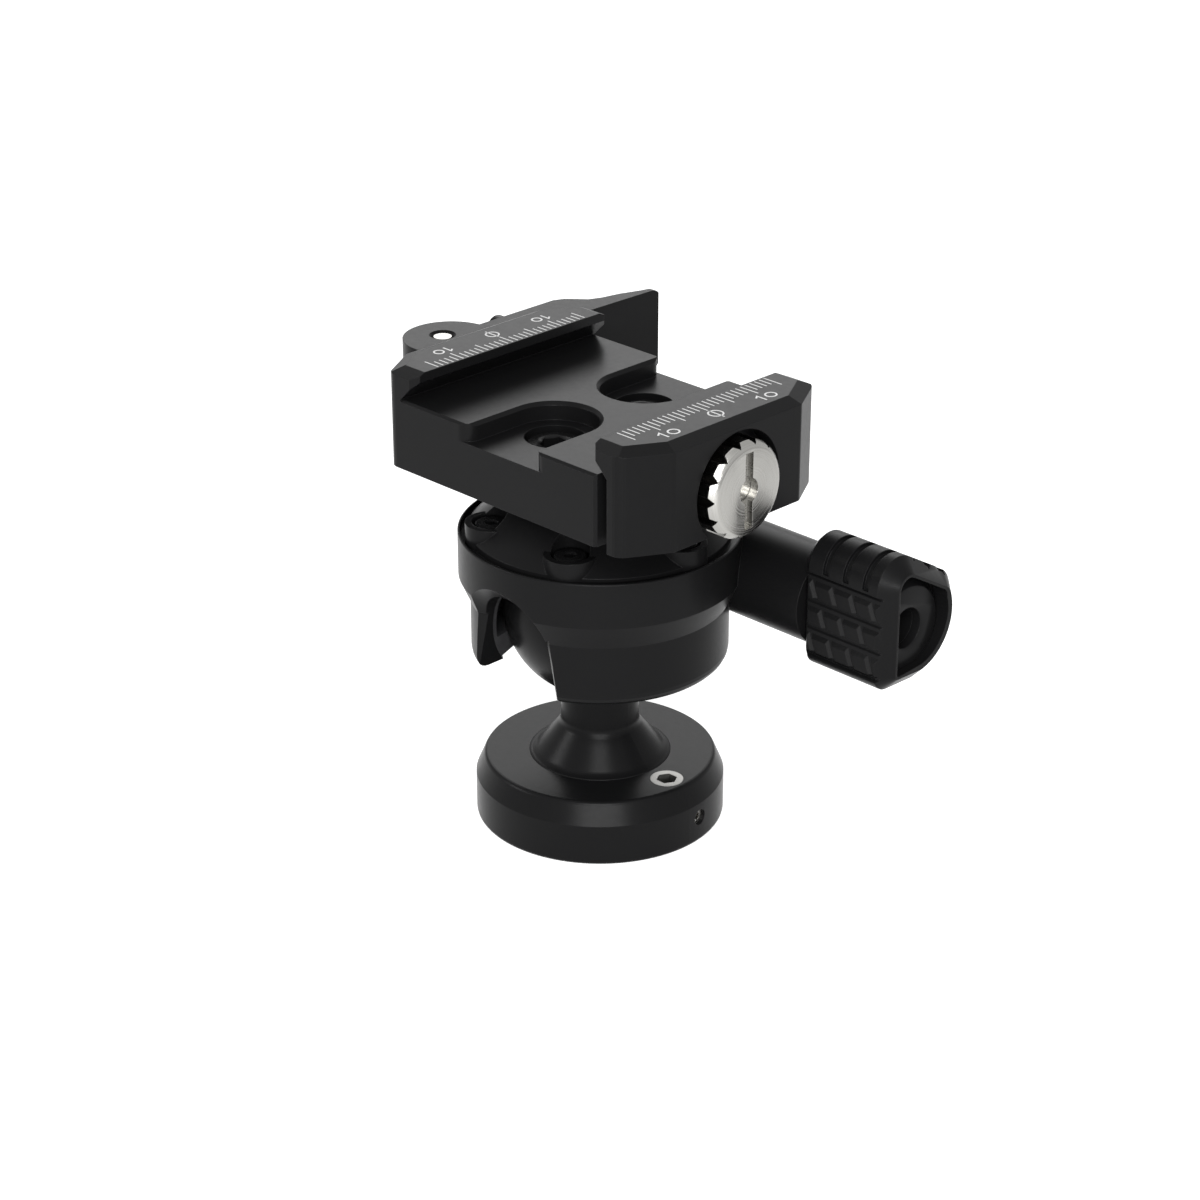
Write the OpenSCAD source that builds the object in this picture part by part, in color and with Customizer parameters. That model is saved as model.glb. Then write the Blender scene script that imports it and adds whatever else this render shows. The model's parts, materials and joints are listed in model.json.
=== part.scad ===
/* [Base] */
// Radius of the base plate
base_r = 19; // [18.5:0.5:24]
// Height of the base plate
base_h = 9.9; // [9:0.1:13]
// Height of the straight part of the base plate's wall
base_wall_h = 6.5; // [5.5:0.5:8]
// How far the rim leans in between the wall and the top face
base_rim_in = 1.2; // [0.6:0.2:2]
// Radius of the stem's spigot inside the base plate
spigot_r = 8.2; // [7.4:0.2:9]
// Outer radius of the steel thread bush
thread_bush_r = 6.2; // [5.6:0.2:6.8]
// Radius of the 3/8 inch tripod thread
tripod_thread_r = 4.7625; // [4.7625]
// Radius of the set screw in the base plate's top face
top_screw_r = 2.5; // [2:0.1:2.8]
// Distance of that set screw from the base plate's rim
top_screw_in = 4.8; // [4.4:0.1:5]
// Radius of the small set screw in the base plate's wall
side_screw_r = 1.25; // [1:0.05:1.5]

/* [Ball and stem] */
// Radius of the ball
ball_r = 14.7; // [14:0.1:15]
// Height of the ball's centre above the bottom face
ball_z = 34.95; // [34:0.25:38]
// Radius of the neck under the ball
neck_r = 5.95; // [5.5:0.05:6]
// Radius of the flared foot on the base plate
foot_r = 11.1; // [10.6:0.1:11.6]
// Height of the flare above the base plate
flare_h = 5.9; // [5:0.1:5.9]

/* [Ball cage] */
// Running clearance between the ball and what bears on it
ball_gap = 0.05; // [0.04:0.01:0.08]
// Thickness of the pressure cup and of the friction pad
cup_wall = 1.45; // [1:0.05:1.5]
// Thickness of the liner's thin upper wall
liner_wall = 0.6; // [0.5:0.05:0.7]
// Polar angle at which the pressure cup begins
cup_from = 39; // [39:1:42]
// Polar angle at which the pressure cup ends
cup_to = 64; // [58:1:66]
// Polar angle of the friction pad's edge
pad_to = 13; // [10:0.5:13]
// Polar angle at which the liner's lower seat begins
seat_from = 104; // [104:1:107]
// Polar angle at which the liner's lower seat ends
seat_to = 118; // [114:1:118]

/* [Housing] */
// Radius of the housing's lower part
housing_r = 19.4; // [19.3:0.1:20.5]
// Radius of the ring at the housing's top
ring_r = 21.15; // [21.1:0.05:22.5]
// Distance from the ball's centre down to the housing's bottom face
housing_drop = 8.65; // [8:0.05:9]
// Height of the ring's lower edge above the ball's centre
ring_from = 5.05; // [5:0.05:6]
// Height of the cone between the lower part and the ring
ring_cone_h = 3.9; // [3:0.1:4.5]
// Height of the housing's top edge above the ball's centre
housing_rise = 12.05; // [11.8:0.05:12.6]
// Half the width of the drop notch
notch_r = 6.3; // [6.25:0.05:6.6]
// Width of the bevel round the notch
notch_bevel = 1.1; // [0.9:0.05:1.3]
// Angle by which the notch's straight walls flare below the ball's centre
notch_flare = 13; // [8:1:16]

/* [Cap] */
// Height of the face on which the cap sits, above the ball's centre
cap_seat = 10.45; // [10.2:0.05:10.7]
// Radius of the cap above its flange
cap_r = 19.6; // [19.2:0.1:20]
// Radius of the pedestal that carries the clamp
pedestal_r = 13.5; // [12.5:0.25:14]
// Distance of the cap screws from the middle
cap_screw_pcd_r = 16.5; // [16.4:0.05:16.5]
// Radius of a cap screw's shank
cap_screw_r = 1.5; // [1.25:0.05:1.5]
// Radius of a cap screw's head
cap_head_r = 2.5; // [2.3:0.05:2.6]
// Radius of the round ears that hold the cap screws
ear_r = 3.9; // [3.7:0.05:4]
// Height of the ears' tops above the ball's centre
ear_rise = 14.6; // [14.2:0.1:15]
// Number of cap screws
cap_screws_n = 6; // [3:1:6]

/* [Lock] */
// Distance of the lock axis from the middle, along the slot
lock_y = 17.3; // [17.2:0.05:17.6]
// Height of the lock axis above the ball's centre
lock_rise = 4.5; // [4.2:0.1:4.8]
// Radius of the arm
arm_r = 7.25; // [7:0.05:7.5]
// Distance of the arm's free end from the middle
arm_end = 30.2; // [28:0.1:31]
// Radius of the bore through the arm
lock_bore_r = 4.6; // [4.4:0.05:4.8]
// Radius of the lock screw
lock_screw_r = 2; // [1.8:0.05:2.1]
// Length of the knob
knob_len = 15.9; // [14:0.1:18]
// Gap between the arm and the knob
knob_gap = 0.4; // [0.3:0.05:0.6]
// Radius of the knob's two lobes
lobe_r = 4.5; // [4.2:0.1:4.8]
// Distance from the lock axis to the knob's main flat
knob_flat = 6.3; // [6:0.1:7]
// Distance from the lock axis to the knob's second flat
knob_flat2 = 9.8; // [9.2:0.1:10.2]
// Width of the bevel round the knob's end
knob_bevel = 2.2; // [1.6:0.1:2.6]

/* [Clamp] */
// Length of the clamp along its slot
clamp_len = 40; // [38:0.5:46]
// Width of each jaw, from its lip to its outer face
jaw_w = 9.5; // [9:0.25:12]
// Distance from the ball's centre up to the clamp's bottom face
clamp_rise = 20.75; // [20.5:0.25:22]
// Height of the clamp
clamp_h = 15.5; // [15:0.25:17]
// Depth of the dovetail slot below the jaws' tops
slot_depth = 4.6; // [4.2:0.1:5]
// Half the width between the jaws' lips
lip_half = 18; // [17.5:0.1:18.5]
// Horizontal reach of each jaw's lip over the slot
undercut = 3.2; // [3:0.1:3.3]
// Gap between the clamp body and the moving jaw
jaw_gap = 2.2; // [1.8:0.1:2.4]
// Length of the slanted corners along the slot
corner_len = 7; // [5:0.5:8]
// Width of the slanted corners across the slot
corner_w = 4; // [3:0.25:5]
// Width of the bevel round the jaws' tops
bevel_w = 2.1; // [1.4:0.1:2.4]
// Height of that bevel
bevel_h = 0.95; // [0.6:0.05:1.2]
// Half the width of the two pockets in the slot's floor
pocket_r = 6.7; // [6.2:0.1:7]
// Distance of the clamp screws from the middle
clamp_screw_y = 9.2; // [9:0.1:9.6]
// Radius of a clamp screw's shank
clamp_screw_r = 2.5; // [2:0.1:2.5]
// Height of the tie rod above the clamp's bottom face
rod_rise = 5.65; // [5.4:0.05:5.8]
// Radius of the tie rod
rod_r = 2.2; // [2:0.05:2.3]
// Radius of the adjusting nut
nut_r = 7.3; // [7:0.1:7.6]
// Number of notches round the adjusting nut
nut_notches = 14; // [10:1:16]

/* [Lever] */
// Distance from the clamp's outer face to the lever's pin
pin_out = 6.45; // [6.3:0.05:6.8]
// Radius of the lever's pin
pin_r = 1.41; // [1.2:0.05:1.6]
// Radius of the lever's cam
cam_r = 7.2; // [7:0.05:7.25]
// Offset of the cam's centre from the pin
cam_throw = 1.6; // [1.5:0.05:1.7]
// Height of the lever
lever_h = 13.3; // [12.8:0.1:13.4]
// Length of the lever's wing beyond the middle
lever_reach = 39.1; // [38:0.1:42]
// Width of the lever's bar beside the clamp
lever_bar = 5.6; // [5.2:0.1:6.2]
// Distance of the lock button from the middle
button_y = 13.2; // [12.6:0.1:15]
// Radius of the lock button
button_r = 2.15; // [1.9:0.05:2.3]

/* [Hidden] */
$fn = 64;

black = [0.06, 0.06, 0.065];
steel = [0.72, 0.71, 0.68];
bronze = [0.62, 0.47, 0.26];
resin = [0.30, 0.30, 0.31];

eps = 0.01;
big = 100;
seat_gap = 0.3;
running_gap = 0.05;
spring_slack = 0.1;

// Base
base_fillet = 0.65;
base_top_r = base_r - base_rim_in;
base_edge = 0.7;
flare_round = 2;
top_screw_x = base_r - top_screw_in;
top_screw_h = base_h - 2;
top_socket_r = 1.6;
top_socket_depth = 2.4;
side_screw_z = 4.1;
side_screw_turn = 7.5;
side_screw_len = 2.5;
side_screw_sink = 0.6;
side_socket_r = 0.65;
side_socket_depth = 1;
bush_top = base_h - 0.6;

// Ball cage, as spheres round the ball's centre
cage_r = ball_r + ball_gap;
cup_r = cage_r + cup_wall;
cavity_r = cup_r + seat_gap;
liner_r = cavity_r + liner_wall;
pad_track = cup_r * sin(pad_to) + seat_gap;
liner_from = acos(cap_seat / liner_r) + 0.5;
cup_spring_r = [11.2, 13];
cup_spring_h = 0.6;
cup_spring_well = 3;
cup_spring_z = sqrt(pow(cup_r + running_gap, 2) - pow(cup_spring_r[0], 2)) + 0.12;

// Housing, heights above the ball's centre
bottom_fillet = 2.1;
cap_bore_r = ring_r - 0.35;
ring_edge = 0.25;
notch_wall = housing_r - 2.3;
notch_bevel_slope = 0.62;
arm_back = -10;
lock_z = ball_z + lock_rise;

// Cap
flange_h = 0.8;
flange_r = cap_bore_r - 0.1;
ear_from = cap_seat + flange_h / 2;
cap_cone_z = housing_rise + 0.2;
cap_cone_slope = 0.88;
cone_top = cap_cone_z + (cap_r - pedestal_r) * cap_cone_slope;
ear_bore_r = cap_head_r + 0.4;
cap_head_h = 2.4;
cap_head_z = ear_rise - 0.1 - cap_head_h;
over_liner = sqrt(pow(liner_r, 2) - pow(cap_screw_pcd_r - cap_screw_r, 2)) + 0.2;
over_lock = lock_rise + lock_bore_r + 0.2;
// Height of a cap screw's tip above the ball's centre: those beside the lock bore are shorter
function cap_screw_end(i) = sin(360 * i / cap_screws_n) > 0.5 ? over_lock : over_liner;
cap_socket_r = 0.95;
cap_socket_depth = 1.4;

// Lock: cotters, bush, screw and knob, places along the arm
plug_x = [arm_back + 0.3, -7];
plug_socket_r = 1.8;
plug_socket_depth = 1.6;
far_cotter_x = [-6.9, -1.6];
near_cotter_x = [1.3, 7];
cotter_r = lock_bore_r - 0.05;
cotter_spring_y = lock_y + 2;
cotter_spring_r = 1.4;
cotter_spring_wire = 0.3;
cotter_spring_turns = 3;
bush_x = [14, arm_end - 0.2];
lock_travel = 0.75;
screw_tip = near_cotter_x[1] + 0.1;
screw_socket_r = 1.15;
screw_socket_depth = 1.2;
knob_x0 = arm_end + knob_gap;
knob_x1 = knob_x0 + knob_len;
knob_belly_bevel = 0.8;
knob_edge = 0.9;
knob_rim = 0.2;
knob_recess = 1.5;
disc_t = 1.6;
disc_r = 7.3;
disc_hole_r = 3;
disc_hole_bevel = 0.5;
disc_x = knob_x1 - knob_recess - disc_t;
screw_sink = 3;
screw_end = disc_x - screw_sink;
flat2_turn = 60;
// The knob's section, from the lock axis: a lobe at the top, one at the side, a belly and a small corner
lobe_a = [-knob_flat + lobe_r, 7.15];
lobe_b = [5.68, 2.84];
belly_c = [0.5, 1];
belly_r = 10;
corner_r = 3;
corner_c = [-knob_flat + corner_r, -5.7];
belly_turn = atan2(lobe_b[1] - belly_c[1], lobe_b[0] - belly_c[0]);
rib_x = [3.55, 7.25, 10.95];
rib_groove_w = 1.1;
rib_groove_d = 0.55;
grip_pitch = 4.2;
grip_z = 0.3;
grip_groove_w = 1.2;
grip_groove_d = 0.5;

// Clamp, absolute heights
clamp_z0 = ball_z + clamp_rise;
clamp_z1 = clamp_z0 + clamp_h;
floor_z = clamp_z1 - slot_depth;
lip_z = floor_z + undercut;
root_half = lip_half + undercut;
clamp_half_w = lip_half + jaw_w;
half_len = clamp_len / 2;
body_end = root_half + 0.1 - jaw_gap;
jaw_face = root_half + 0.1;
jaw_z0 = clamp_z0 - 0.3;
edge = 0.4;
pocket_edge = 0.5;
lip_corner = 1.1;
corner_rounds = [2, 1];
pocket_z = floor_z - 2.8;
pocket_y = clamp_screw_y + 0.2;
mouth_round = 2;
screw_head_r = 4.2;
screw_head_h = 3.6;
screw_head_z = pocket_z - 4.9;
screw_bore_r = screw_head_r + 0.25;
clamp_screw_end = ball_z + sqrt(pow(cavity_r, 2) - pow(clamp_screw_y - clamp_screw_r, 2)) + 0.4;
socket_r = 2.3;
socket_depth = 2.4;
rod_z = clamp_z0 + rod_rise;
rod_bore_r = rod_r + 0.15;
guide_y = 12.5;
guide_z = rod_z - 0.9;
guide_r = 1.75;
guide_x = [9.5, jaw_face + 4.7];
spring_y = 7.4;
spring_x0 = 13.4;
spring_r = 1.3;
spring_wire = 0.3;
spring_turns = 5;
spring_hole_r = spring_r + 0.5;
dowel_x = 9;
dowel_r = 1.5;
dowel_h = 3;

// Adjusting nut, places across the clamp
nut_bore_r = rod_r + running_gap;
nut_recess_r = nut_r + 1.2;
nut_recess_x = clamp_half_w - 3;
washer_t = 0.4;
washer_r = nut_r - 0.6;
nut_x0 = nut_recess_x + washer_t + 0.15;
nut_x1 = clamp_half_w + 2;
nut_bevel = 1;
notch_depth = 0.8;
coin_slot_w = 1.6;
coin_slot_d = 1.1;
coin_slot_half = 5.75;
nut_hole_r = 1.9;
rod_sink = 1.5;
rod_end = nut_x1 - rod_sink;

// Lever
pin_x = -clamp_half_w - pin_out;
lever_z0 = clamp_z0 - 0.7;
lever_z1 = lever_z0 + lever_h;
cam_plate_t = 0.8;
cam_face = pin_x + cam_throw + cam_r + 0.35;
recess_x = cam_face + cam_plate_t;
recess_y = [-7.8, 9.4];
recess_z1 = lever_z1 + 0.4;
lever_corner = 1.8;
// The curve behind the wing, from its tip back to the bar
wing_back = [[-1, -2.9], [-2.3, -6.5], [-3, -9.8], [-3.9, -11.9], [-5.4, -13.2], [-6.7, -14.4]];
pin_mouth_h = 0.65;
pin_sink = 0.25;
eye_r = 3.2;
eye_h = 5.6;
fork_h = eye_h + 0.4;
fork_eye_r = eye_r + 0.4;
open_turn = 120;
bar_in = -clamp_half_w - seat_gap;
bar_out = bar_in - lever_bar;
button_z = lever_z1 - 0.7 - button_r;
button_out = bar_out - 3.2;
button_in = bar_out + 2.2;
button_travel = 1.2;
button_spring_len = 1.3;
button_spring_r = button_r - 0.6;
button_spring_wire = 0.2;
button_spring_turns = 2;
button_edge = 0.5;

// Points of an arc, from one angle to another
function arc(c, r, from, to, steps = 6) =
    [for (i = [0 : steps]) let (a = from + (to - from) * i / steps) c + r * [cos(a), sin(a)]];

// A straight round bar along X, from x0 to x1
module bar_x(x0, x1, r, y = 0, z = 0) {
    translate([x0, y, z]) rotate([0, 90, 0]) cylinder(h = x1 - x0, r = r);
}

// A flat outline in Y and Z, extruded along X
module extrude_x(x0, x1) {
    translate([x0, 0, 0]) rotate([90, 0, 90]) linear_extrude(x1 - x0) children();
}

// A flat outline in X and Z, extruded along the slot
module extrude_y(y0, y1) {
    translate([0, y1, 0]) rotate([90, 0, 0]) linear_extrude(y1 - y0) children();
}

// A block that cuts a slope whose lower edge passes p, looking out at angle turn
module slope_cut(p, turn, w, h) {
    translate(p) rotate([0, 0, turn]) rotate([0, atan(h / w), 0])
        translate([-big / 2, -big / 2, 0]) cube([big, big, big / 4]);
}

// A flat wedge between two polar angles, measured from straight up
module polar_wedge(from, to) {
    polygon(concat([[0, 0]],
        [for (i = [0 : 3]) let (a = from + (to - from) * i / 3) big * [sin(a), cos(a)]]));
}

// A shell between two spheres, from one polar angle to another
module polar_shell(r_in, r_out, from, to) {
    translate([0, 0, ball_z]) rotate_extrude() intersection() {
        difference() {
            circle(r = r_out, $fn = 128);
            circle(r = r_in, $fn = 128);
        }
        polar_wedge(from, to);
    }
}

// The hexagon socket of a screw, its mouth at z = 0
module hex_socket(r, depth) {
    translate([0, 0, -depth]) cylinder(h = depth + eps, r = r, $fn = 6);
}

// A coil spring along Z, as a tube of round wire with level ends
module coil(mean_r, wire_r, len, turns) {
    per_turn = 14;
    sides = 6;
    rings = turns * per_turn;
    rise = len - 2 * wire_r;
    function ring(i) = let (a = 360 * i / per_turn, t = i / rings)
        [for (k = [0 : sides - 1]) let (b = 360 * k / sides)
            [(mean_r + wire_r * cos(b)) * cos(a), (mean_r + wire_r * cos(b)) * sin(a),
             wire_r + rise * t + wire_r * sin(b)]];
    points = [for (i = [0 : rings]) each ring(i)];
    walls = [for (i = [0 : rings - 1]) for (k = [0 : sides - 1]) let (n = (k + 1) % sides)
        [i * sides + k, (i + 1) * sides + k, (i + 1) * sides + n, i * sides + n]];
    first = [for (k = [0 : sides - 1]) k];
    last = [for (k = [sides - 1 : -1 : 0]) rings * sides + k];
    polyhedron(points = points, faces = concat([first], walls, [last]), convexity = 8);
}

// ---------------------------------------------------------------- base

module side_screw_place() {
    rotate([0, 0, side_screw_turn]) translate([base_r, 0, side_screw_z]) rotate([0, 90, 0]) children();
}

module base_plate() {
    color(black) difference() {
        rotate_extrude() polygon(concat(
            [[0, 0]],
            arc([base_r - base_fillet, base_fillet], base_fillet, -90, 0, 4),
            [[base_r, base_wall_h]],
            arc([base_top_r - base_edge, base_h - base_edge], base_edge, 22, 90, 3),
            [[0, base_h]]));
        translate([0, 0, -eps]) cylinder(h = base_h + 2 * eps, r = spigot_r);
        translate([top_screw_x, 0, -eps]) cylinder(h = base_h + 2 * eps, r = top_screw_r);
        side_screw_place() translate([0, 0, -side_screw_len - 0.1]) cylinder(h = big, r = side_screw_r);
    }
}

module ball_stem() {
    foot_c = [foot_r, base_h + flare_round];
    neck_c = [neck_r + flare_round, base_h + flare_h];
    steep = atan2(neck_c[1] - foot_c[1], foot_c[0] - neck_c[0]);
    color(black) difference() {
        union() {
            rotate_extrude() polygon(concat(
                [[0, 0], [spigot_r, 0], [spigot_r, base_h]],
                arc(foot_c, flare_round, -98, -90 - steep),
                arc(neck_c, flare_round, 270 - steep, 180),
                [[neck_r, ball_z], [0, ball_z]]));
            translate([0, 0, ball_z]) sphere(r = ball_r, $fn = 128);
        }
        translate([0, 0, -eps]) cylinder(h = bush_top + eps, r = thread_bush_r);
    }
}

module thread_bush() {
    color(steel) difference() {
        cylinder(h = bush_top, r = thread_bush_r);
        translate([0, 0, -eps]) cylinder(h = base_h, r = tripod_thread_r);
    }
}

module top_set_screw() {
    color(steel) translate([top_screw_x, 0, base_h]) difference() {
        translate([0, 0, -top_screw_h]) cylinder(h = top_screw_h, r = top_screw_r);
        hex_socket(top_socket_r, top_socket_depth);
    }
}

module side_set_screw() {
    color(steel) side_screw_place() difference() {
        translate([0, 0, -side_screw_len]) cylinder(h = side_screw_len - side_screw_sink, r = side_screw_r);
        translate([0, 0, -side_screw_sink]) hex_socket(side_socket_r, side_socket_depth);
    }
}

// ---------------------------------------------------------------- ball cage

module friction_pad() {
    color(resin) polar_shell(cage_r, cup_r, 0, pad_to);
}

module pressure_cup() {
    color(bronze) difference() {
        polar_shell(cage_r, cup_r, cup_from, cup_to);
        translate([-pad_track, 0, ball_z - eps]) cube([2 * pad_track, big, big]);
    }
}

// The clear way of the drop notch: round at the top, with straight walls that flare downwards
module notch_way(r) {
    translate([0, 0, ball_z]) rotate([90, 0, 0]) linear_extrude(big) {
        circle(r = r);
        for (side = [-1, 1]) mirror([side > 0 ? 0 : 1, 0])
            polygon([[0, 0], r * [cos(notch_flare), sin(notch_flare)],
                     [r / cos(notch_flare) + big * tan(notch_flare), -big], [0, -big]]);
    }
}

// The bevel round the notch, which opens outwards
module notch_bevel_cut() {
    lean = atan((ring_r - housing_r) / (notch_r + notch_bevel)) + 3;
    grow = big / 4;
    leg_y = notch_wall + 0.02;
    translate([0, -notch_wall, ball_z]) rotate([90 + lean, 0, 0])
        cylinder(h = grow * notch_bevel_slope, r1 = notch_r, r2 = notch_r + grow);
    for (side = [-1, 1]) mirror([side > 0 ? 0 : 1, 0, 0])
        translate([notch_r / cos(notch_flare), 0, ball_z]) rotate([0, -notch_flare, 0])
            translate([0, 0, -big]) linear_extrude(big + notch_r * sin(notch_flare))
                polygon([[-notch_r, -leg_y], [0, -leg_y],
                         [grow, -leg_y - grow * notch_bevel_slope],
                         [-notch_r, -leg_y - grow * notch_bevel_slope]]);
}

module lock_bore(r) {
    bar_x(arm_back - 1, arm_end + 1, r, lock_y, lock_z);
}

module housing() {
    top_z = ball_z + housing_rise;
    color(black) difference() {
        union() {
            translate([0, 0, ball_z]) rotate_extrude() polygon(concat(
                [[0, -housing_drop]],
                arc([housing_r - bottom_fillet, bottom_fillet - housing_drop], bottom_fillet, -90, 0, 5),
                [[housing_r, ring_from - ring_cone_h], [ring_r, ring_from]],
                arc([ring_r - ring_edge, housing_rise - ring_edge], ring_edge, 0, 90, 4),
                [[0, housing_rise]]));
            bar_x(arm_back, arm_end, arm_r, lock_y, lock_z);
        }
        translate([0, 0, ball_z]) sphere(r = liner_r, $fn = 128);
        translate([0, 0, ball_z + cap_seat]) cylinder(h = big, r = cap_bore_r);
        notch_way(notch_r);
        notch_bevel_cut();
        lock_bore(lock_bore_r);
        for (i = [0 : cap_screws_n - 1]) cap_screw_place(i)
            translate([0, 0, cap_screw_end(i)]) cylinder(h = big, r = cap_screw_r);
    }
}

module ball_liner() {
    color(resin) difference() {
        translate([0, 0, ball_z]) rotate_extrude() difference() {
            intersection() {
                circle(r = liner_r, $fn = 128);
                polar_wedge(liner_from, seat_to);
            }
            circle(r = cage_r, $fn = 128);
            intersection() {
                circle(r = cavity_r, $fn = 128);
                polar_wedge(0, seat_from);
            }
        }
        notch_way(notch_r);
        lock_bore(lock_bore_r);
    }
}

// ---------------------------------------------------------------- cap

module cap_screw_place(i) {
    rotate([0, 0, 360 * i / cap_screws_n]) translate([cap_screw_pcd_r, 0, ball_z]) children();
}

module cap() {
    color(black) difference() {
        union() {
            translate([0, 0, ball_z]) rotate_extrude() polygon([
                [0, cap_seat], [flange_r, cap_seat], [flange_r, cap_seat + flange_h],
                [cap_r, cap_seat + flange_h], [cap_r, cap_cone_z], [pedestal_r, cone_top],
                [pedestal_r, clamp_rise], [0, clamp_rise]]);
            for (i = [0 : cap_screws_n - 1]) cap_screw_place(i)
                translate([0, 0, ear_from]) cylinder(h = ear_rise - ear_from, r = ear_r);
        }
        translate([0, 0, ball_z]) sphere(r = cavity_r, $fn = 128);
        for (i = [0 : cap_screws_n - 1]) cap_screw_place(i) {
            translate([0, 0, cap_head_z]) cylinder(h = big, r = ear_bore_r);
            cylinder(h = big, r = cap_screw_r);
        }
        translate([0, 0, ball_z + cup_spring_z]) difference() {
            translate([0, 0, -cup_spring_well])
                cylinder(h = cup_spring_well + cup_spring_h, r = cup_spring_r[1] + spring_slack);
            translate([0, 0, -cup_spring_well - 1])
                cylinder(h = cup_spring_well + cup_spring_h + 2, r = cup_spring_r[0] - spring_slack);
        }
        for (side = [-1, 1]) {
            translate([0, side * clamp_screw_y, clamp_screw_end]) cylinder(h = big, r = clamp_screw_r);
            translate([side * dowel_x, 0, clamp_z0 - dowel_h]) cylinder(h = big, r = dowel_r);
        }
    }
}

module cup_spring() {
    color(steel) translate([0, 0, ball_z + cup_spring_z]) difference() {
        cylinder(h = cup_spring_h, r = cup_spring_r[1]);
        translate([0, 0, -eps]) cylinder(h = 2, r = cup_spring_r[0]);
    }
}

module cap_screws() {
    color(black) for (i = [0 : cap_screws_n - 1]) cap_screw_place(i) difference() {
        union() {
            translate([0, 0, cap_screw_end(i)])
                cylinder(h = cap_head_z - cap_screw_end(i) + eps, r = cap_screw_r);
            translate([0, 0, cap_head_z]) cylinder(h = cap_head_h, r = cap_head_r);
        }
        translate([0, 0, cap_head_z + cap_head_h]) hex_socket(cap_socket_r, cap_socket_depth);
    }
}

// ---------------------------------------------------------------- lock

module cotter(x0, x1) {
    difference() {
        bar_x(x0, x1, cotter_r, lock_y, lock_z);
        translate([0, 0, ball_z]) sphere(r = cavity_r, $fn = 128);
    }
}

module far_cotter() {
    color(bronze) cotter(far_cotter_x[0], far_cotter_x[1]);
}

module near_cotter() {
    color(bronze) cotter(near_cotter_x[0], near_cotter_x[1]);
}

module cotter_spring() {
    len = near_cotter_x[0] - far_cotter_x[1];
    color(steel) translate([far_cotter_x[1], cotter_spring_y, lock_z]) rotate([0, 90, 0])
        coil(cotter_spring_r, cotter_spring_wire, len - spring_slack, cotter_spring_turns);
}

module bore_plug() {
    color(steel) difference() {
        bar_x(plug_x[0], plug_x[1], lock_bore_r, lock_y, lock_z);
        translate([0, 0, ball_z]) sphere(r = cavity_r, $fn = 128);
        translate([plug_x[0], lock_y, lock_z]) rotate([0, -90, 0])
            hex_socket(plug_socket_r, plug_socket_depth);
    }
}

module lock_bush() {
    color(bronze) difference() {
        bar_x(bush_x[0], bush_x[1], lock_bore_r, lock_y, lock_z);
        bar_x(bush_x[0] - 1, bush_x[1] + 1, lock_screw_r + running_gap, lock_y, lock_z);
    }
}

module lock_screw() {
    color(steel) difference() {
        bar_x(screw_tip, screw_end, lock_screw_r, lock_y, lock_z);
        translate([screw_end, lock_y, lock_z]) rotate([0, 90, 0])
            hex_socket(screw_socket_r, screw_socket_depth);
    }
}

// The knob's section, less an inset on its flats and lobes and another on its belly
module knob_section(inset = 0, belly = 0) {
    side = lobe_b + (inset - belly) * [sin(flat2_turn), -cos(flat2_turn)];
    polygon(concat(
        arc(lobe_a, lobe_r - inset, 180, flat2_turn, 14),
        arc(side, lobe_r - inset, flat2_turn, belly_turn + 5, 6),
        arc(belly_c, belly_r - belly, belly_turn, -80, 22),
        arc(corner_c, corner_r - inset, -95, -180, 8)));
}

module knob_solid(x0, x1, inset = 0, belly = 0) {
    translate([0, lock_y, lock_z]) extrude_x(x0, x1) knob_section(inset, belly);
}

// The knob's outer form: a slight bevel towards the arm and a wide one round its free end
module knob_body() {
    hull() {
        knob_solid(knob_x0, knob_x0 + eps, knob_edge, knob_edge);
        knob_solid(knob_x0 + knob_edge, knob_x1 - knob_bevel);
        knob_solid(knob_x1 - eps, knob_x1, knob_bevel, knob_belly_bevel);
    }
}

// The grooves between the ribs on the first rounded edge
module rib_grooves() {
    for (x = rib_x) translate([knob_x0 + x, lock_y, lock_z]) extrude_x(0, rib_groove_w) difference() {
        polygon([lobe_a, lobe_a + 12 * [-1, -0.1], lobe_a + 16 * [-0.5, 0.9],
                 lobe_a + 12 * [cos(flat2_turn - 4), sin(flat2_turn - 4)]]);
        translate(lobe_a) circle(r = lobe_r - rib_groove_d);
    }
}

// The long grooves on the main flat
module flat_grooves() {
    for (i = [-1 : 2]) translate([knob_x0 - 1, lock_y - knob_flat - 1,
                                  lock_z + grip_z + (i - 0.5) * grip_pitch - grip_groove_w / 2])
        cube([knob_len, 1 + grip_groove_d, grip_groove_w]);
}

module lock_knob() {
    color(black) difference() {
        knob_body();
        knob_solid(disc_x, knob_x1 + 1, knob_bevel + knob_rim, knob_belly_bevel + knob_rim);
        bar_x(knob_x0 - 1, knob_x1, lock_screw_r, lock_y, lock_z);
        bar_x(screw_end, knob_x1, disc_hole_r, lock_y, lock_z);
        rib_grooves();
        flat_grooves();
    }
}

module knob_disc() {
    color(black) difference() {
        intersection() {
            knob_solid(disc_x, disc_x + disc_t, knob_bevel + knob_rim + running_gap,
                       knob_belly_bevel + knob_rim + running_gap);
            bar_x(disc_x, disc_x + disc_t, disc_r, lock_y, lock_z);
        }
        bar_x(knob_x0, knob_x1 + 1, disc_hole_r, lock_y, lock_z);
        translate([disc_x + disc_t - disc_hole_bevel, lock_y, lock_z]) rotate([0, 90, 0])
            cylinder(h = disc_hole_bevel + eps, r1 = disc_hole_r - eps, r2 = disc_hole_r + disc_hole_bevel);
    }
}

// ---------------------------------------------------------------- clamp

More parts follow.
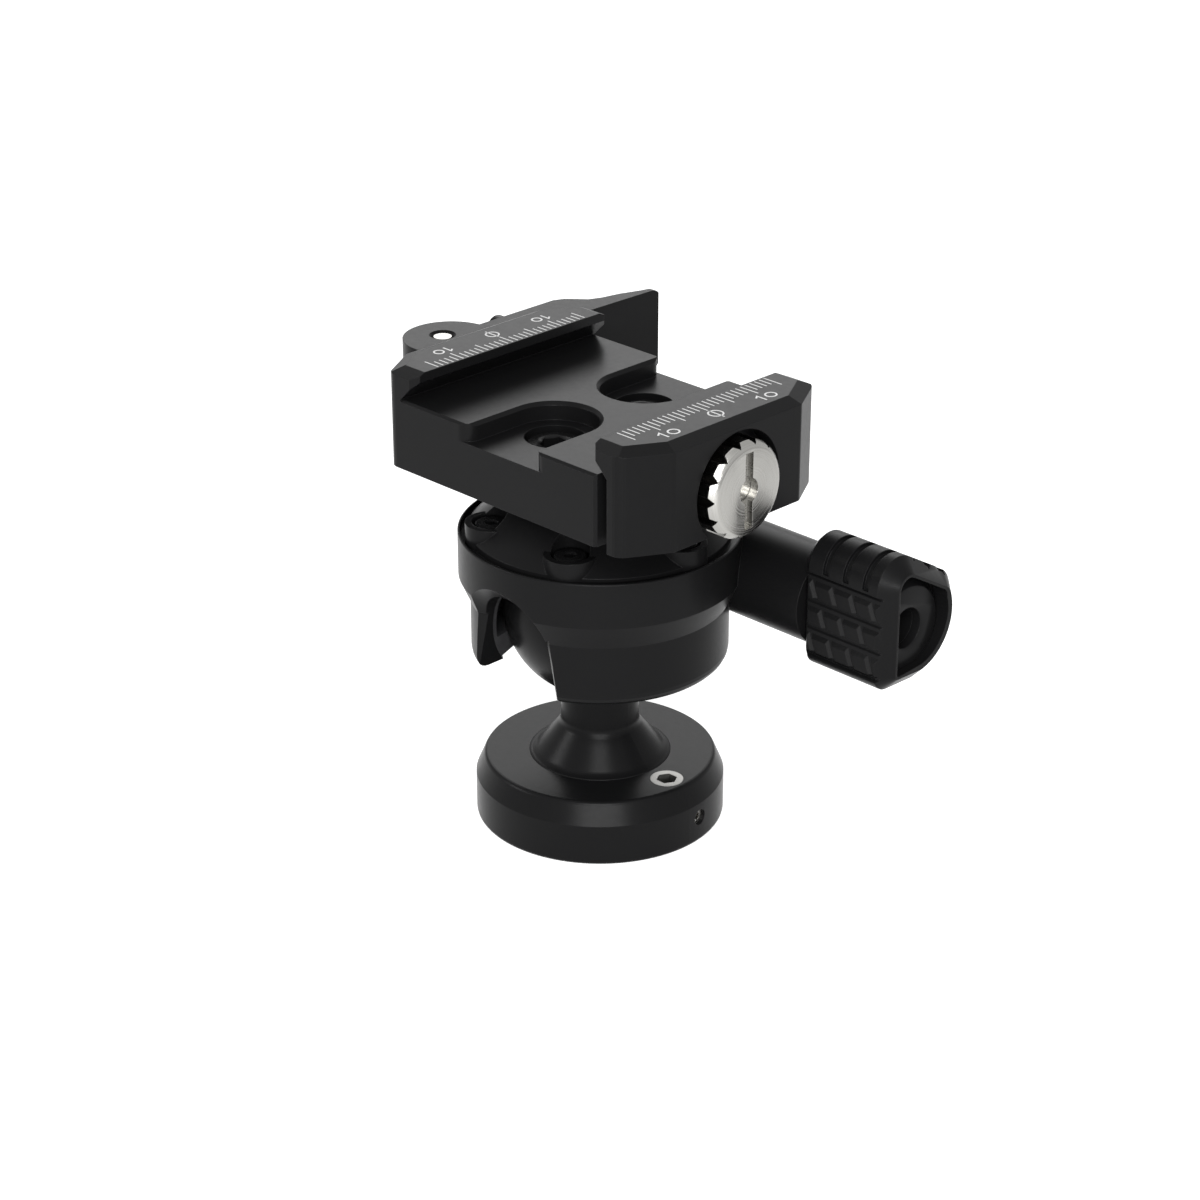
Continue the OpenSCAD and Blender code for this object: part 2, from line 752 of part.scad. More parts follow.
// Points that round the corner b of an outline that runs from a over b to c
function rounded(a, b, c, r, steps = 4) =
    let (u = (a - b) / norm(a - b), v = (c - b) / norm(c - b), half = acos(u * v) / 2,
         o = b + (u + v) / norm(u + v) * r / sin(half),
         p = b + u * r / tan(half) - o, q = b + v * r / tan(half) - o)
    [for (i = [0 : steps]) let (m = p + (q - p) * i / steps) o + m / norm(m) * r];

// The clamp's plan on the fixed side (-1) or the moving side (1), from x0 outwards
module jaw_plan(side, x0) {
    a = [x0, half_len];
    b = [clamp_half_w - corner_w, half_len];
    c = [clamp_half_w, half_len - corner_len];
    edge_points = concat([a], rounded(a, b, c, corner_rounds[0]), rounded(b, c, [c[0], 0], corner_rounds[1]));
    last = len(edge_points) - 1;
    polygon([for (i = [0 : 2 * last + 1])
        let (p = edge_points[i <= last ? i : 2 * last + 1 - i]) [side * p[0], i <= last ? p[1] : -p[1]]]);
}

// The small vertical bevel at one end of a jaw's lip
module lip_corner_cut(side, end) {
    translate([side * lip_half, end * half_len, floor_z + 1 + big / 2]) rotate([0, 0, 45])
        cube([lip_corner * sqrt(2), lip_corner * sqrt(2), big], center = true);
}

// The bevels round one jaw's top
module jaw_bevels(side) {
    z = clamp_z1 - bevel_h;
    slant = atan(corner_w / corner_len);
    slope_cut([side * clamp_half_w, 0, z], side > 0 ? 0 : 180, bevel_w, bevel_h);
    for (end = [-1, 1]) {
        slope_cut([0, end * half_len, z], end * 90, bevel_w, bevel_h);
        slope_cut([side * clamp_half_w, end * (half_len - corner_len), z],
                  side > 0 ? end * slant : 180 - end * slant, bevel_w, bevel_h);
    }
}

module pocket(end) {
    mouth = half_len + 1;
    translate([0, end * pocket_y, pocket_z]) cylinder(h = big, r = pocket_r);
    translate([-pocket_r, end > 0 ? pocket_y : -mouth, pocket_z]) cube([2 * pocket_r, mouth - pocket_y, big]);
    for (side = [-1, 1]) mouth_corner(side, end);
    pocket_bevel(end);
}

// The bevel round a pocket's edge in the slot's floor
module pocket_bevel(end) {
    low = pocket_r - 0.02;
    low_z = floor_z - pocket_edge - 0.02;
    top = pocket_r + 1;
    translate([0, end * pocket_y, low_z]) cylinder(h = top - low, r1 = low, r2 = top);
    extrude_y(end > 0 ? pocket_y : -big, end > 0 ? big : -pocket_y)
        polygon([[-low, low_z], [low, low_z], [top, low_z + top - low], [-top, low_z + top - low]]);
}

// The bevel where the slot's floor meets the clamp's end, outside the fixed jaw
module floor_bevel(end) {
    mirror([0, end > 0 ? 0 : 1, 0]) extrude_x(-root_half, big) polygon([
        [half_len + 1, floor_z - edge - 1], [half_len - edge - eps, floor_z + eps],
        [half_len + 1, floor_z + eps]]);
}

// The rounded corner where a pocket opens at the clamp's end
module mouth_corner(side, end) {
    translate([side * pocket_r, end * half_len, pocket_z]) difference() {
        translate([side > 0 ? 0 : -mouth_round, end > 0 ? -mouth_round : 0, 0])
            cube([mouth_round, mouth_round, big]);
        translate([side * mouth_round, -end * mouth_round, -1]) cylinder(h = big + 2, r = mouth_round);
    }
}

module clamp_body() {
    color(black) difference() {
        union() {
            translate([0, 0, clamp_z0]) linear_extrude(clamp_h) jaw_plan(-1, 0);
            translate([0, 0, clamp_z0]) linear_extrude(clamp_h) polygon([
                [-1, -half_len], [body_end - edge, -half_len], [body_end, edge - half_len],
                [body_end, half_len - edge], [body_end - edge, half_len], [-1, half_len]]);
        }
        extrude_y(-big, big) polygon([
            [-lip_half, big], [-lip_half, lip_z], [-root_half, floor_z], [big, floor_z], [big, big]]);
        jaw_bevels(-1);
        for (end = [-1, 1]) {
            pocket(end);
            floor_bevel(end);
            lip_corner_cut(-1, end);
            translate([0, end * clamp_screw_y, screw_head_z]) cylinder(h = big, r = screw_bore_r);
            translate([0, end * clamp_screw_y, 0]) cylinder(h = big, r = clamp_screw_r);
            bar_x(guide_x[0], big, guide_r, end * guide_y, guide_z);
            bar_x(spring_x0, big, spring_hole_r, end * spring_y, guide_z);
            translate([end * dowel_x, 0, 0]) cylinder(h = clamp_z0 + dowel_h, r = dowel_r);
        }
        bar_x(-big, big, rod_bore_r, 0, rod_z);
        translate([-big, recess_y[0], clamp_z0 - 1])
            cube([big + recess_x, recess_y[1] - recess_y[0], recess_z1 - clamp_z0 + 1]);
    }
}

module clamp_screws() {
    color(black) for (end = [-1, 1]) translate([0, end * clamp_screw_y, 0]) difference() {
        union() {
            translate([0, 0, clamp_screw_end])
                cylinder(h = screw_head_z - clamp_screw_end + eps, r = clamp_screw_r);
            translate([0, 0, screw_head_z]) cylinder(h = screw_head_h, r = screw_head_r);
        }
        translate([0, 0, screw_head_z + screw_head_h]) hex_socket(socket_r, socket_depth);
    }
}

module locating_pins() {
    color(steel) for (side = [-1, 1])
        translate([side * dowel_x, 0, clamp_z0 - dowel_h]) cylinder(h = 2 * dowel_h, r = dowel_r);
}

module guide_pins() {
    color(steel) for (end = [-1, 1]) bar_x(guide_x[0], guide_x[1], guide_r, end * guide_y, guide_z);
}

module jaw_springs() {
    color(steel) for (end = [-1, 1]) translate([spring_x0, end * spring_y, guide_z])
        rotate([0, 90, 0]) coil(spring_r, spring_wire, jaw_face - spring_x0 - spring_slack, spring_turns);
}

module cam_plate() {
    color(steel) difference() {
        translate([cam_face, recess_y[0] + seat_gap, clamp_z0 + seat_gap])
            cube([cam_plate_t, recess_y[1] - recess_y[0] - 2 * seat_gap,
                  recess_z1 - clamp_z0 - 2 * seat_gap]);
        bar_x(-big, 0, rod_bore_r, 0, rod_z);
    }
}

module moving_jaw() {
    color(black) difference() {
        intersection() {
            extrude_y(-half_len, half_len) polygon([
                [jaw_face, jaw_z0], [clamp_half_w, jaw_z0], [clamp_half_w, clamp_z1],
                [lip_half, clamp_z1], [lip_half, lip_z], [root_half, floor_z],
                [jaw_face, floor_z - 0.1]]);
            linear_extrude(big) jaw_plan(1, 0);
        }
        jaw_bevels(1);
        for (end = [-1, 1]) lip_corner_cut(1, end);
        bar_x(nut_recess_x, big, nut_recess_r, 0, rod_z);
        bar_x(0, big, rod_r + running_gap, 0, rod_z);
        for (end = [-1, 1]) bar_x(0, guide_x[1] + 0.4, guide_r + running_gap, end * guide_y, guide_z);
    }
}

module tie_rod() {
    color(steel) difference() {
        union() {
            bar_x(pin_x, rod_end, rod_r, 0, rod_z);
            translate([pin_x, 0, rod_z - eye_h / 2]) cylinder(h = eye_h, r = eye_r);
        }
        translate([pin_x, 0, 0]) cylinder(h = big, r = pin_r + running_gap);
    }
}

module nut_washer() {
    color(steel) difference() {
        bar_x(nut_recess_x, nut_recess_x + washer_t, washer_r, 0, rod_z);
        bar_x(0, big, rod_r + running_gap, 0, rod_z);
    }
}

module adjusting_nut() {
    color(steel) translate([0, 0, rod_z]) difference() {
        union() {
            bar_x(nut_x0, nut_x1 - nut_bevel, nut_r);
            translate([nut_x1 - nut_bevel, 0, 0]) rotate([0, 90, 0])
                cylinder(h = nut_bevel, r1 = nut_r, r2 = nut_r - nut_bevel);
        }
        bar_x(0, rod_end + running_gap, nut_bore_r);
        bar_x(0, big, nut_hole_r);
        for (i = [0 : nut_notches - 1]) rotate([360 * (i + 0.5) / nut_notches, 0, 0])
            translate([0, 0, nut_r - notch_depth]) rotate([45, 0, 0]) cube([big, big / 20, big / 20]);
        translate([nut_x1 - coin_slot_d, -coin_slot_w / 2, -coin_slot_half])
            cube([big, coin_slot_w, 2 * coin_slot_half]);
    }
}

// ---------------------------------------------------------------- lever

// The lever's outline from above
module lever_plan() {
    tip = [bar_in + 1.9, lever_reach];
    translate([pin_x + cam_throw, 0]) circle(r = cam_r);
    polygon(concat(
        [[pin_x + cam_throw, -1], [bar_in, 0.5], [bar_in, half_len - 2.5], [bar_in + 1, half_len + 1],
         [bar_in + 1.9, half_len + 3.5]],
        [for (p = [[0.4, -0.4], [0, 0], [-0.4, -0.2]]) tip + p],
        [for (p = wing_back) tip + p],
        [[bar_out, half_len + 3], [bar_out, 6.5], [bar_out - 0.6, 5], [bar_out - 1.9, 3.6],
         [pin_x - 2.9, 2.7], [pin_x - cam_r + cam_throw + 0.9, 0.75]]));
}

// The slot of the lever's fork, seen from above, round the pin
module fork_plan() {
    w = rod_r + 0.3;
    circle(r = fork_eye_r);
    translate([0, -w]) square([big, 2 * w]);
    rotate(-open_turn) translate([0, -w]) square([big, 2 * w]);
    polygon([[0, 0], [big, 0], [big, -big], big * [cos(open_turn), -sin(open_turn)]]);
}

// The rounded upper (1) or lower (-1) corner at the end of the lever's wing
module wing_corner(side) {
    r = lever_corner;
    z = side > 0 ? lever_z1 : lever_z0;
    translate([0, lever_reach, z]) extrude_x(-big, 0) difference() {
        translate([-r, side > 0 ? -r : -1]) square([r + 1, r + 1]);
        translate([-r, -side * r]) circle(r = r);
    }
}

module lever() {
    color(black) difference() {
        translate([0, 0, lever_z0]) linear_extrude(lever_h) lever_plan();
        for (side = [-1, 1]) wing_corner(side);
        translate([pin_x, 0, rod_z - fork_h / 2]) linear_extrude(fork_h) fork_plan();
        translate([pin_x, 0, 0]) cylinder(h = big, r = pin_r);
        translate([pin_x, 0, lever_z1 - pin_mouth_h])
            cylinder(h = pin_mouth_h + 0.05, r1 = pin_r, r2 = pin_r + pin_mouth_h + 0.05);
        bar_x(-big, button_in + button_travel + button_spring_len + spring_slack, button_r + running_gap, button_y, button_z);
    }
}

module lever_pin() {
    color(steel) translate([pin_x, 0, lever_z0 + 2 * pin_sink]) cylinder(h = lever_h - 3 * pin_sink, r = pin_r);
}

module lock_button() {
    color(black) union() {
        bar_x(button_out + button_edge, button_in, button_r, button_y, button_z);
        translate([button_out, button_y, button_z]) rotate([0, 90, 0])
            cylinder(h = button_edge, r1 = button_r - button_edge, r2 = button_r);
    }
}

module button_spring() {
    color(steel) translate([button_in, button_y, button_z]) rotate([0, 90, 0])
        coil(button_spring_r, button_spring_wire, button_spring_len, button_spring_turns);
}

base_plate();
ball_stem();
thread_bush();
top_set_screw();
side_set_screw();
friction_pad();
pressure_cup();
housing();
ball_liner();
cup_spring();
cap();
cap_screws();
far_cotter();
cotter_spring();
lock_bush();
bore_plug();
near_cotter();
lock_screw();
lock_knob();
knob_disc();
clamp_body();
clamp_screws();
locating_pins();
guide_pins();
jaw_springs();
cam_plate();
moving_jaw();
tie_rod();
nut_washer();
adjusting_nut();
lever();
lever_pin();
lock_button();
button_spring();
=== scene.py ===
"""Tripod ball head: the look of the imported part, its camera and its light. Lengths are in metres."""

import json
import math
from collections import namedtuple

import bmesh
import bpy
from mathutils import Matrix, Vector


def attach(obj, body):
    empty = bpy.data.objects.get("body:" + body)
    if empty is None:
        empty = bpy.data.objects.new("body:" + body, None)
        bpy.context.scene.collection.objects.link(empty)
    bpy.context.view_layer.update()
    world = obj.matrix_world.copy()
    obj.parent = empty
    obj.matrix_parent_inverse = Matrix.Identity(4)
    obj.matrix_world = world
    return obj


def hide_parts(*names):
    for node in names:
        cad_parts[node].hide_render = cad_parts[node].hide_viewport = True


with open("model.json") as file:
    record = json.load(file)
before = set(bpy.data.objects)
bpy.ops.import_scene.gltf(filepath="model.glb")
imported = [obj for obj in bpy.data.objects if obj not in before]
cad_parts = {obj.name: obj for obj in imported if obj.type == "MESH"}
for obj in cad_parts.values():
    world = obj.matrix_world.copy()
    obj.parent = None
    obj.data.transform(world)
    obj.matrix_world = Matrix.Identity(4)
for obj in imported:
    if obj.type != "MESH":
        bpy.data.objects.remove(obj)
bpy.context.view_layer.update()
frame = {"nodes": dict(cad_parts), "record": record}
nodes = frame["nodes"]

MM = 0.001
LOOK_AT = Vector((0, 0, 34.826 * MM))
CAMERA_DISTANCE = 448.182 * MM
CAMERA_AZIMUTH = math.radians(45)
CAMERA_ELEVATION = math.radians(25)
LENS = 89.646

BLACK_IOR = 1.15
# How much paler the anodised edges are painted: a painted highlight along every edge
EDGE_HIGHLIGHT = 2.2
GRAIN_SCALE = 5200
CLOUD_SCALE = 55
ROUGH_SPREAD = 0.02
METAL_EDGE = 0.08 * MM
ANISOTROPY = 0.7

# Places and sizes of the pieces made here, in millimetres and in the CAD solids' frame
ROD_Z = 61.35
LOCK_Y = 17.3
LOCK_Z = 39.45
KNOB_X0 = 30.6
KNOB_X1 = 46.5
KNOB_FLAT = 6.3
KNOB_FLAT2 = 9.8
KNOB_EDGE = 0.9
KNOB_BEVEL = 2.2
KNOB_RIM = 0.4
KNOB_BELLY_RIM = 0.9
LOBE_R = 4.5
LOBE_A = (-1.8, 7.15)
LOBE_B = (5.68, 2.84)
BELLY_C = (0.5, 1.0)
BELLY_R = 10.0
CORNER_R = 3.0
CORNER_C = (-3.3, -5.7)
FLAT2_TURN = 60
DISC_X = 43.4
SCREW_END = 40.4
DISC_TOP = 45.0
DISC_HOLE_R = 3.0
DISC_FLAT_R = 6.35
DISC_OUTER_R = 7.9
RIB_X = (34.15, 37.85, 41.55)
RIB_GROOVE_W = 1.1
RIB_GROOVE_D = 0.55
JAW_TOP_Z = 71.2
LIP_HALF = 18.0
BUSH_TOP = 9.3
NUT_X0 = 25.05
NUT_X1 = 29.5
NUT_R = 7.3
NUT_BEVEL = 1.1
NUT_BORE_R = 2.25
NUT_HOLE_R = 1.9
NUT_NOTCHES = 14
ROD_END = 28.0
COIN_SLOT = (1.6, 1.1, 5.75)
THREAD_R = 4.7625
THREAD_PITCH = 25.4 / 16

OVERCUT = 1  # how far a cutting tool reaches past the face that it opens


# ---------------------------------------------------------------- materials


def new_material(name):
    """A material with an empty node tree, its output and its Principled shader."""
    material = bpy.data.materials.new(name)
    material.use_nodes = True
    tree = material.node_tree
    tree.nodes.clear()
    output = tree.nodes.new("ShaderNodeOutputMaterial")
    shader = tree.nodes.new("ShaderNodeBsdfPrincipled")
    tree.links.new(shader.outputs["BSDF"], output.inputs["Surface"])
    return material, tree, shader


def noise(tree, scale, detail=2.0, stretch=(1, 1, 1), distortion=0.0):
    """Noise over the object's own coordinates, stretched along an axis for turned or brushed metal."""
    place = tree.nodes.new("ShaderNodeTexCoord")
    mapping = tree.nodes.new("ShaderNodeMapping")
    mapping.inputs["Scale"].default_value = stretch
    texture = tree.nodes.new("ShaderNodeTexNoise")
    texture.inputs["Scale"].default_value = scale
    texture.inputs["Detail"].default_value = detail
    texture.inputs["Distortion"].default_value = distortion
    tree.links.new(place.outputs["Object"], mapping.inputs["Vector"])
    tree.links.new(mapping.outputs["Vector"], texture.inputs["Vector"])
    return texture.outputs["Fac"]


def turned_lines(tree, scale, centre, across):
    """Noise that changes only with the distance from an axis: the fine rings that a lathe leaves."""
    place = tree.nodes.new("ShaderNodeTexCoord")
    shift = tree.nodes.new("ShaderNodeVectorMath")
    shift.operation = "SUBTRACT"
    shift.inputs[1].default_value = centre
    flat = tree.nodes.new("ShaderNodeVectorMath")
    flat.operation = "MULTIPLY"
    flat.inputs[1].default_value = across
    radius = tree.nodes.new("ShaderNodeVectorMath")
    radius.operation = "LENGTH"
    texture = tree.nodes.new("ShaderNodeTexNoise")
    texture.noise_dimensions = "1D"
    texture.inputs["Scale"].default_value = scale
    texture.inputs["Detail"].default_value = 3.0
    tree.links.new(place.outputs["Object"], shift.inputs[0])
    tree.links.new(shift.outputs["Vector"], flat.inputs[0])
    tree.links.new(flat.outputs["Vector"], radius.inputs[0])
    tree.links.new(radius.outputs["Value"], texture.inputs["W"])
    return texture.outputs["Fac"]


def spread(tree, value, low, high, from_low=0.3, from_high=0.7):
    """The value stretched to a new range."""
    node = tree.nodes.new("ShaderNodeMapRange")
    node.inputs["From Min"].default_value = from_low
    node.inputs["From Max"].default_value = from_high
    node.inputs["To Min"].default_value = low
    node.inputs["To Max"].default_value = high
    tree.links.new(value, node.inputs["Value"])
    return node.outputs["Result"]


def two_colours(tree, factor, dark, light):
    """A mix of two colours by a factor."""
    node = tree.nodes.new("ShaderNodeMix")
    node.data_type = "RGBA"
    node.inputs["A"].default_value = (*dark, 1)
    node.inputs["B"].default_value = (*light, 1)
    tree.links.new(factor, node.inputs["Factor"])
    return node.outputs["Result"]


def rounded_edges(tree, radius):
    """Normals that round each edge a little."""
    node = tree.nodes.new("ShaderNodeBevel")
    node.samples = 6
    node.inputs["Radius"].default_value = radius
    return node.outputs["Normal"]


def edge_mask(tree, edge_normal):
    """1 on an edge, 0 on a flat, from how far the rounded normal leaves the true one."""
    geometry = tree.nodes.new("ShaderNodeNewGeometry")
    dot = tree.nodes.new("ShaderNodeVectorMath")
    dot.operation = "DOT_PRODUCT"
    tree.links.new(geometry.outputs["Normal"], dot.inputs[0])
    tree.links.new(edge_normal, dot.inputs[1])
    return spread(tree, dot.outputs["Value"], 1.0, 0.0, 0.75, 0.99)


def add_bump(tree, shader, height, strength, distance, normal=None):
    """Relief from a height value, on top of a given normal."""
    bump = tree.nodes.new("ShaderNodeBump")
    bump.inputs["Strength"].default_value = strength
    bump.inputs["Distance"].default_value = distance
    tree.links.new(height, bump.inputs["Height"])
    if normal is not None:
        tree.links.new(normal, bump.inputs["Normal"])
    tree.links.new(bump.outputs["Normal"], shader.inputs["Normal"])


def anodised(name, dark, light, rough, edge_radius=0.15 * MM, grain_depth=0.12):
    """Black anodised aluminium: fine blasted grain, a faint cloudiness and edges painted paler as a painted
    highlight.
    """
    material, tree, shader = new_material(name)
    edge_normal = rounded_edges(tree, edge_radius)
    cloud = spread(tree, noise(tree, CLOUD_SCALE, 2), 0.0, 1.0, 0.2, 0.8)
    colour = two_colours(tree, cloud, dark, light)
    # The edge mask lifts the colour here: a painted highlight along each edge
    edge_highlight = tree.nodes.new("ShaderNodeMix")
    edge_highlight.data_type = "RGBA"
    edge_highlight.inputs["B"].default_value = (*(EDGE_HIGHLIGHT * c for c in light), 1)
    tree.links.new(edge_mask(tree, edge_normal), edge_highlight.inputs["Factor"])
    tree.links.new(colour, edge_highlight.inputs["A"])
    tree.links.new(edge_highlight.outputs["Result"], shader.inputs["Base Color"])
    fine = noise(tree, GRAIN_SCALE / 4, 3)
    tree.links.new(spread(tree, fine, rough - ROUGH_SPREAD, rough + ROUGH_SPREAD), shader.inputs["Roughness"])
    shader.inputs["IOR"].default_value = BLACK_IOR
    add_bump(tree, shader, noise(tree, GRAIN_SCALE, 2), grain_depth, 0.02 * MM, edge_normal)
    return material


def metal(name, lines, dark, light, rough, relief=0.08, turned_about=None):
    """Bare metal whose colour, roughness and relief follow tool lines, a function that fills its node tree.

    Metal turned about an axis also stretches its highlights round that axis.
    """
    material, tree, shader = new_material(name)
    edge_normal = rounded_edges(tree, METAL_EDGE)
    value = lines(tree)
    tree.links.new(two_colours(tree, spread(tree, value, 0, 1), dark, light), shader.inputs["Base Color"])
    tree.links.new(spread(tree, value, rough - 0.04, rough + 0.06), shader.inputs["Roughness"])
    shader.inputs["Metallic"].default_value = 1.0
    if turned_about is not None:
        tangent = tree.nodes.new("ShaderNodeTangent")
        tangent.direction_type = "RADIAL"
        tangent.axis = turned_about
        tree.links.new(tangent.outputs["Tangent"], shader.inputs["Tangent"])
        shader.inputs["Anisotropic"].default_value = ANISOTROPY
    add_bump(tree, shader, value, relief, 0.01 * MM, edge_normal)
    return material


def polymer(name, dark, light, rough):
    """Moulded sliding polymer with a soft texture."""
    material, tree, shader = new_material(name)
    tree.links.new(
        two_colours(tree, spread(tree, noise(tree, 700, 3), 0, 1), dark, light), shader.inputs["Base Color"]
    )
    tree.links.new(spread(tree, noise(tree, 500, 2), rough - 0.05, rough + 0.05), shader.inputs["Roughness"])
    add_bump(tree, shader, noise(tree, 3000, 2), 0.1, 0.02 * MM)
    return material


def paint(name, colour, rough):
    """Filled engraving paint with a faint mottle."""
    material, tree, shader = new_material(name)
    mottle = spread(tree, noise(tree, 4000, 2), 0, 1)
    dark = tuple(0.85 * c for c in colour)
    tree.links.new(two_colours(tree, mottle, dark, colour), shader.inputs["Base Color"])
    shader.inputs["Roughness"].default_value = rough
    return material


def steel_lines(tree):
    """The fine grain of plain steel."""
    return noise(tree, 2600, 3)


def nut_lines(tree):
    """The rings that turning leaves on the nut's face, about the tie rod."""
    return turned_lines(tree, 4500, (0, 0, ROD_Z * MM), (0, 1, 1))


def bronze_lines(tree):
    """Turned lines about the lock screw's axis."""
    return noise(tree, 1500, 3, (6, 1, 1))


BLACK = anodised("black_anodised", (0.0042, 0.0042, 0.0044), (0.0052, 0.0052, 0.0054), 0.33)
BASE_BLACK = anodised(
    "fine_turned_black", (0.0044, 0.0044, 0.0046), (0.0052, 0.0052, 0.0054), 0.30, grain_depth=0.07,
)
SCREW_BLACK = anodised(
    "black_screws", (0.0042, 0.0042, 0.0044), (0.0060, 0.0060, 0.0062), 0.22, 0.05 * MM, grain_depth=0.03,
)
STEEL = metal("bright_steel", steel_lines, (0.32, 0.315, 0.30), (0.40, 0.39, 0.37), 0.27)
DULL_STEEL = metal("dull_steel", steel_lines, (0.20, 0.198, 0.19), (0.26, 0.255, 0.245), 0.36)
TURNED_STEEL = metal(
    "turned_nut", nut_lines, (0.29, 0.285, 0.27), (0.34, 0.335, 0.32), 0.22, relief=0.015, turned_about="X",
)
BRONZE = metal("turned_bronze", bronze_lines, (0.44, 0.31, 0.15), (0.58, 0.43, 0.24), 0.33)
POLYMER = polymer("dark_polymer", (0.012, 0.012, 0.013), (0.02, 0.02, 0.021), 0.5)
MARKING = paint("marking_grey", (0.52, 0.52, 0.52), 0.5)

SLOT_MATERIALS = {
    "black_aluminium": BLACK,
    "black_steel": SCREW_BLACK,
    "steel": STEEL,
    "bronze": BRONZE,
    "polymer": POLYMER,
}
NODE_MATERIALS = {
    "ball_stem": BASE_BLACK,
    "base_plate": BASE_BLACK,
    "adjusting_nut": TURNED_STEEL,
    "top_set_screw": DULL_STEEL,
}


def dress_nodes():
    """Every CAD node gets its own material, or that of its slot in the record."""
    for part in frame["record"]["subparts"]:
        mesh = nodes[part["node"]].data
        material = NODE_MATERIALS.get(part["node"], SLOT_MATERIALS[part["material_slot"]])
        if not mesh.materials:
            mesh.materials.append(material)
        for index in range(len(mesh.materials)):
            mesh.materials[index] = material


# ---------------------------------------------------------------- mesh tools, in millimetres


def arc(centre, radius, start, end, steps):
    """Points along an arc, with the angles in degrees."""
    angles = [math.radians(start + (end - start) * i / steps) for i in range(steps + 1)]
    return [(centre[0] + radius * math.cos(a), centre[1] + radius * math.sin(a)) for a in angles]


def add_loft(mesh, rings, joined=False):
    """A closed skin over rings of equally many points, capped at both ends or joined end to end."""
    loops = [[mesh.verts.new(point) for point in ring] for ring in rings]
    pairs = list(zip(loops, loops[1:] + loops[:1]))
    for low, high in pairs if joined else pairs[:-1]:
        for i in range(len(low)):
            j = (i + 1) % len(low)
            mesh.faces.new((low[i], low[j], high[j], high[i]))
    if not joined:
        mesh.faces.new(reversed(loops[0]))
        mesh.faces.new(loops[-1])


def add_prism(mesh, outline, x0, x1):
    """A flat outline in Y and Z, extruded along X."""
    add_loft(mesh, [[(x, y, z) for y, z in outline] for x in (x0, x1)])


def add_turned(mesh, profile, place, steps=96):
    """A turned body from radii and heights along its own axis, closed flat at both ends."""
    angles = [2 * math.pi * i / steps for i in range(steps)]
    add_loft(mesh, [
        [place @ Vector((r * math.cos(a), r * math.sin(a), h)) for a in angles] for r, h in profile
    ])


def add_hexagon(mesh, radius, low, high, place):
    """A hexagonal bar along its own axis."""
    add_turned(mesh, [(radius, low), (radius, high)], place, 6)


def solid(name, build, place=None):
    """An object from a function that fills a bmesh, with its faces turned outwards."""
    mesh = bmesh.new()
    build(mesh)
    bmesh.ops.recalc_face_normals(mesh, faces=mesh.faces)
    if place is not None:
        mesh.transform(place)
    data = bpy.data.meshes.new(name)
    mesh.to_mesh(data)
    mesh.free()
    piece = bpy.data.objects.new(name, data)
    bpy.context.scene.collection.objects.link(piece)
    return piece


def combine(piece, tool, operation):
    """The piece after an exact boolean with a tool, which is used up."""
    modifier = piece.modifiers.new("tool", "BOOLEAN")
    modifier.object = tool
    modifier.operation = operation
    modifier.solver = "EXACT"
    shapes = bpy.context.evaluated_depsgraph_get()
    result = bpy.data.meshes.new_from_object(piece.evaluated_get(shapes))
    piece.modifiers.clear()
    piece.data = result
    bpy.data.objects.remove(tool)


WELD = 0.002
SLIVER = 0.001
SHARP_ANGLE = math.radians(28)


def finish_piece(piece, material, body):
    """Millimetres to metres, smooth shading with sharp edges above an angle, a material and a body."""
    mesh = bmesh.new()
    mesh.from_mesh(piece.data)
    bmesh.ops.remove_doubles(mesh, verts=mesh.verts, dist=WELD)
    bmesh.ops.dissolve_degenerate(mesh, edges=mesh.edges, dist=SLIVER)
    mesh.transform(Matrix.Scale(MM, 4))
    for face in mesh.faces:
        face.smooth = True
    for edge in mesh.edges:
        edge.smooth = len(edge.link_faces) == 2 and edge.calc_face_angle(math.pi) < SHARP_ANGLE
    mesh.to_mesh(piece.data)
    mesh.free()
    piece.data.materials.clear()
    piece.data.materials.append(material)
    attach(piece, body)


# ---------------------------------------------------------------- lock knob

LOCK_AXIS = Matrix.Translation((0, LOCK_Y, LOCK_Z)) @ Matrix.Rotation(math.pi / 2, 4, "Y")
GRIP_END = 45.0
GRIP_DEPTH = 0.45
GROOVE_DEPTH = 0.75
GROOVE_END = 45.9
GROOVE_H = 1.0
BAND_PITCH = 4.25
BLOCK_DROP = 1.85
BLOCK_H = 2.05
BLOCK_SLOPE = 0.65
BLOCK_PITCH = 3.68
BLOCK_GAP = 1.15
BLOCK_FACE = 0.58
BLOCK_LEAN = 0.4
BLOCK_NUMBERS = range(-1, 5)
BAND_START = (31.61, 33.36, 31.34)
MAIN_TOP = 6.63
SECOND_START = (33.0, 31.2)
SECOND_TOP = 4.3
GRIP_OVERCUT = 0.2
GROOVE_WALL_LEAN = 0.1
GROOVE_FLOOR = 0.45
GROOVE_SLOPE = 0.9
BELLY_END = -80
CORNER_START = -95
RIB_START = 182
DISC_GAP = 0.05
DISC_SEAT_GAP = 0.02
DISC_EDGE = (0.1, 0.05)
DISC_MOUTH = 0.5
DISC_MOUTH_MIDDLE = (0.12, 0.15)


def knob_section(inset=0.0, belly=0.0):
    """The knob's section in Y and Z from the lock axis, less an inset on its flats and one on its belly."""
    turn = math.radians(FLAT2_TURN)
    side = (LOBE_B[0] + (inset - belly) * math.sin(turn), LOBE_B[1] - (inset - belly) * math.cos(turn))
    belly_turn = math.degrees(math.atan2(LOBE_B[1] - BELLY_C[1], LOBE_B[0] - BELLY_C[0]))
    outline = arc(LOBE_A, LOBE_R - inset, 180, FLAT2_TURN, 28)
    outline += arc(side, LOBE_R - inset, FLAT2_TURN, belly_turn + 5, 10)
    outline += arc(BELLY_C, BELLY_R - belly, belly_turn, BELLY_END, 40)
    outline += arc(CORNER_C, CORNER_R - inset, CORNER_START, -180, 12)
    return outline


